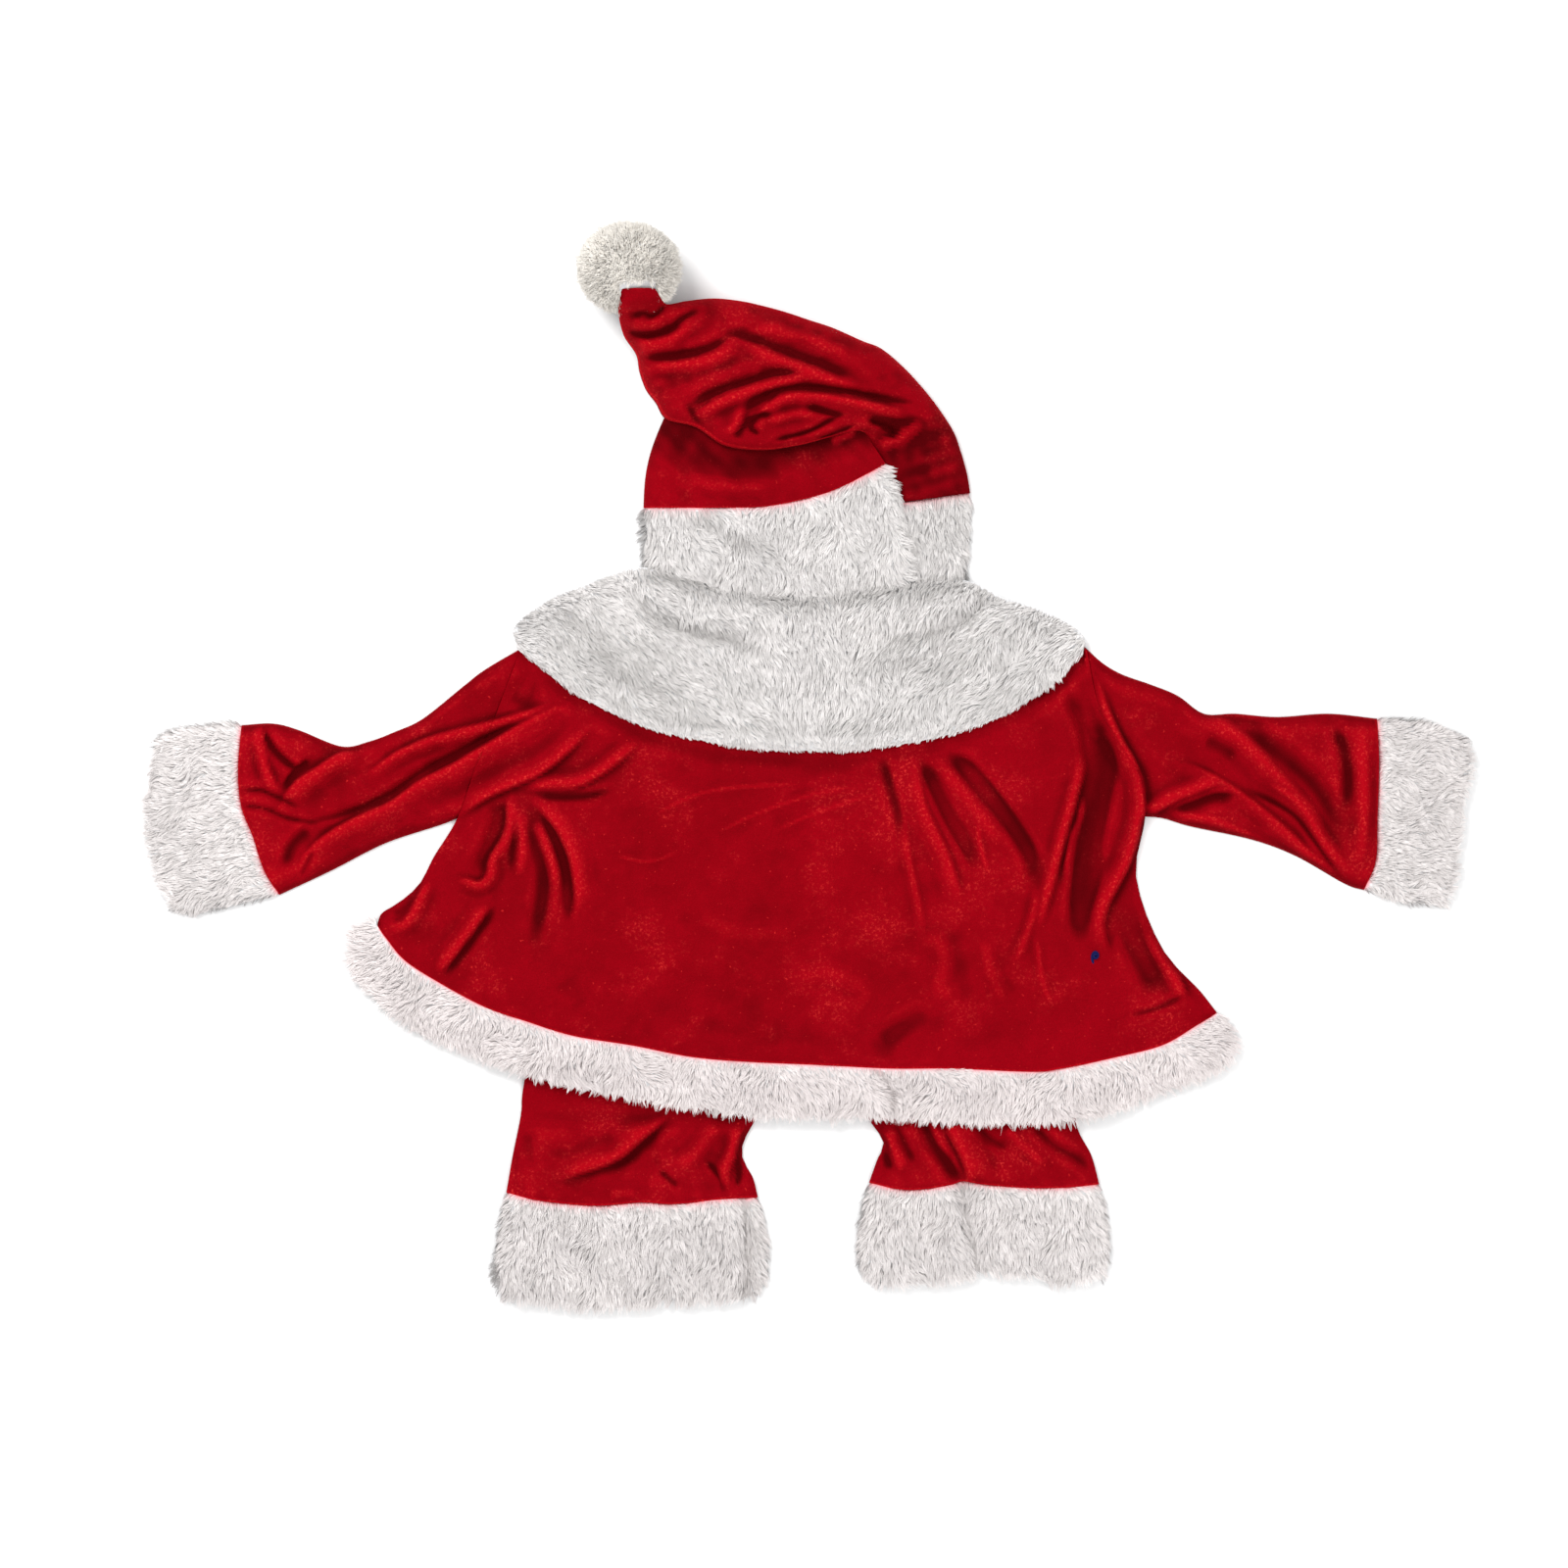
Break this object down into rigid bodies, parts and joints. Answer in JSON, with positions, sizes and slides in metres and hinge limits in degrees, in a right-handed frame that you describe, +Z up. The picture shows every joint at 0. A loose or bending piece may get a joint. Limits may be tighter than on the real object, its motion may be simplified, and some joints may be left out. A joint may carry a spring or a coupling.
{
  "type": "santa suit",
  "caption": "Toddler's red velvet santa suit laid flat, back up: hat with pompom, fur cape, jacket with fur hem and cuffs, and trousers with fur cuffs.",
  "frame": {"origin": "on the surface that the suit lies on, below the middle of its outline seen from above", "axes": "+X across the jacket towards the sleeve at the right of the picture, +Y from the trouser cuffs towards the hat, +Z up off the surface"},
  "size_m": [0.8154, 0.6706, 0.0633],
  "materials": {
    "red_velvet": "short glossy velvet pile, brighter along folds",
    "white_fur": "short tousled fur pile, matte",
    "pompom_fur": "creamy fur pile, matte"
  },
  "bodies": {
    "root": {"jacket_back": "red_velvet", "jacket_front": "red_velvet", "hem_back": "white_fur", "hem_front": "white_fur", "cape_back": "white_fur", "cape_front_left": "white_fur", "cape_front_right": "white_fur", "sleeve_left": "red_velvet", "sleeve_right": "red_velvet", "sleeve_cuff_left": "white_fur", "sleeve_cuff_right": "white_fur", "trouser_waist": "red_velvet", "trouser_back_left": "red_velvet", "trouser_back_right": "red_velvet", "trouser_front_left": "red_velvet", "trouser_front_right": "red_velvet", "trouser_cuff_left": "white_fur", "trouser_cuff_right": "white_fur", "hat_band": "white_fur", "hat_crown": "red_velvet", "hat_tip": "red_velvet", "hat_pompom": "pompom_fur"}
  },
  "joints": []
}
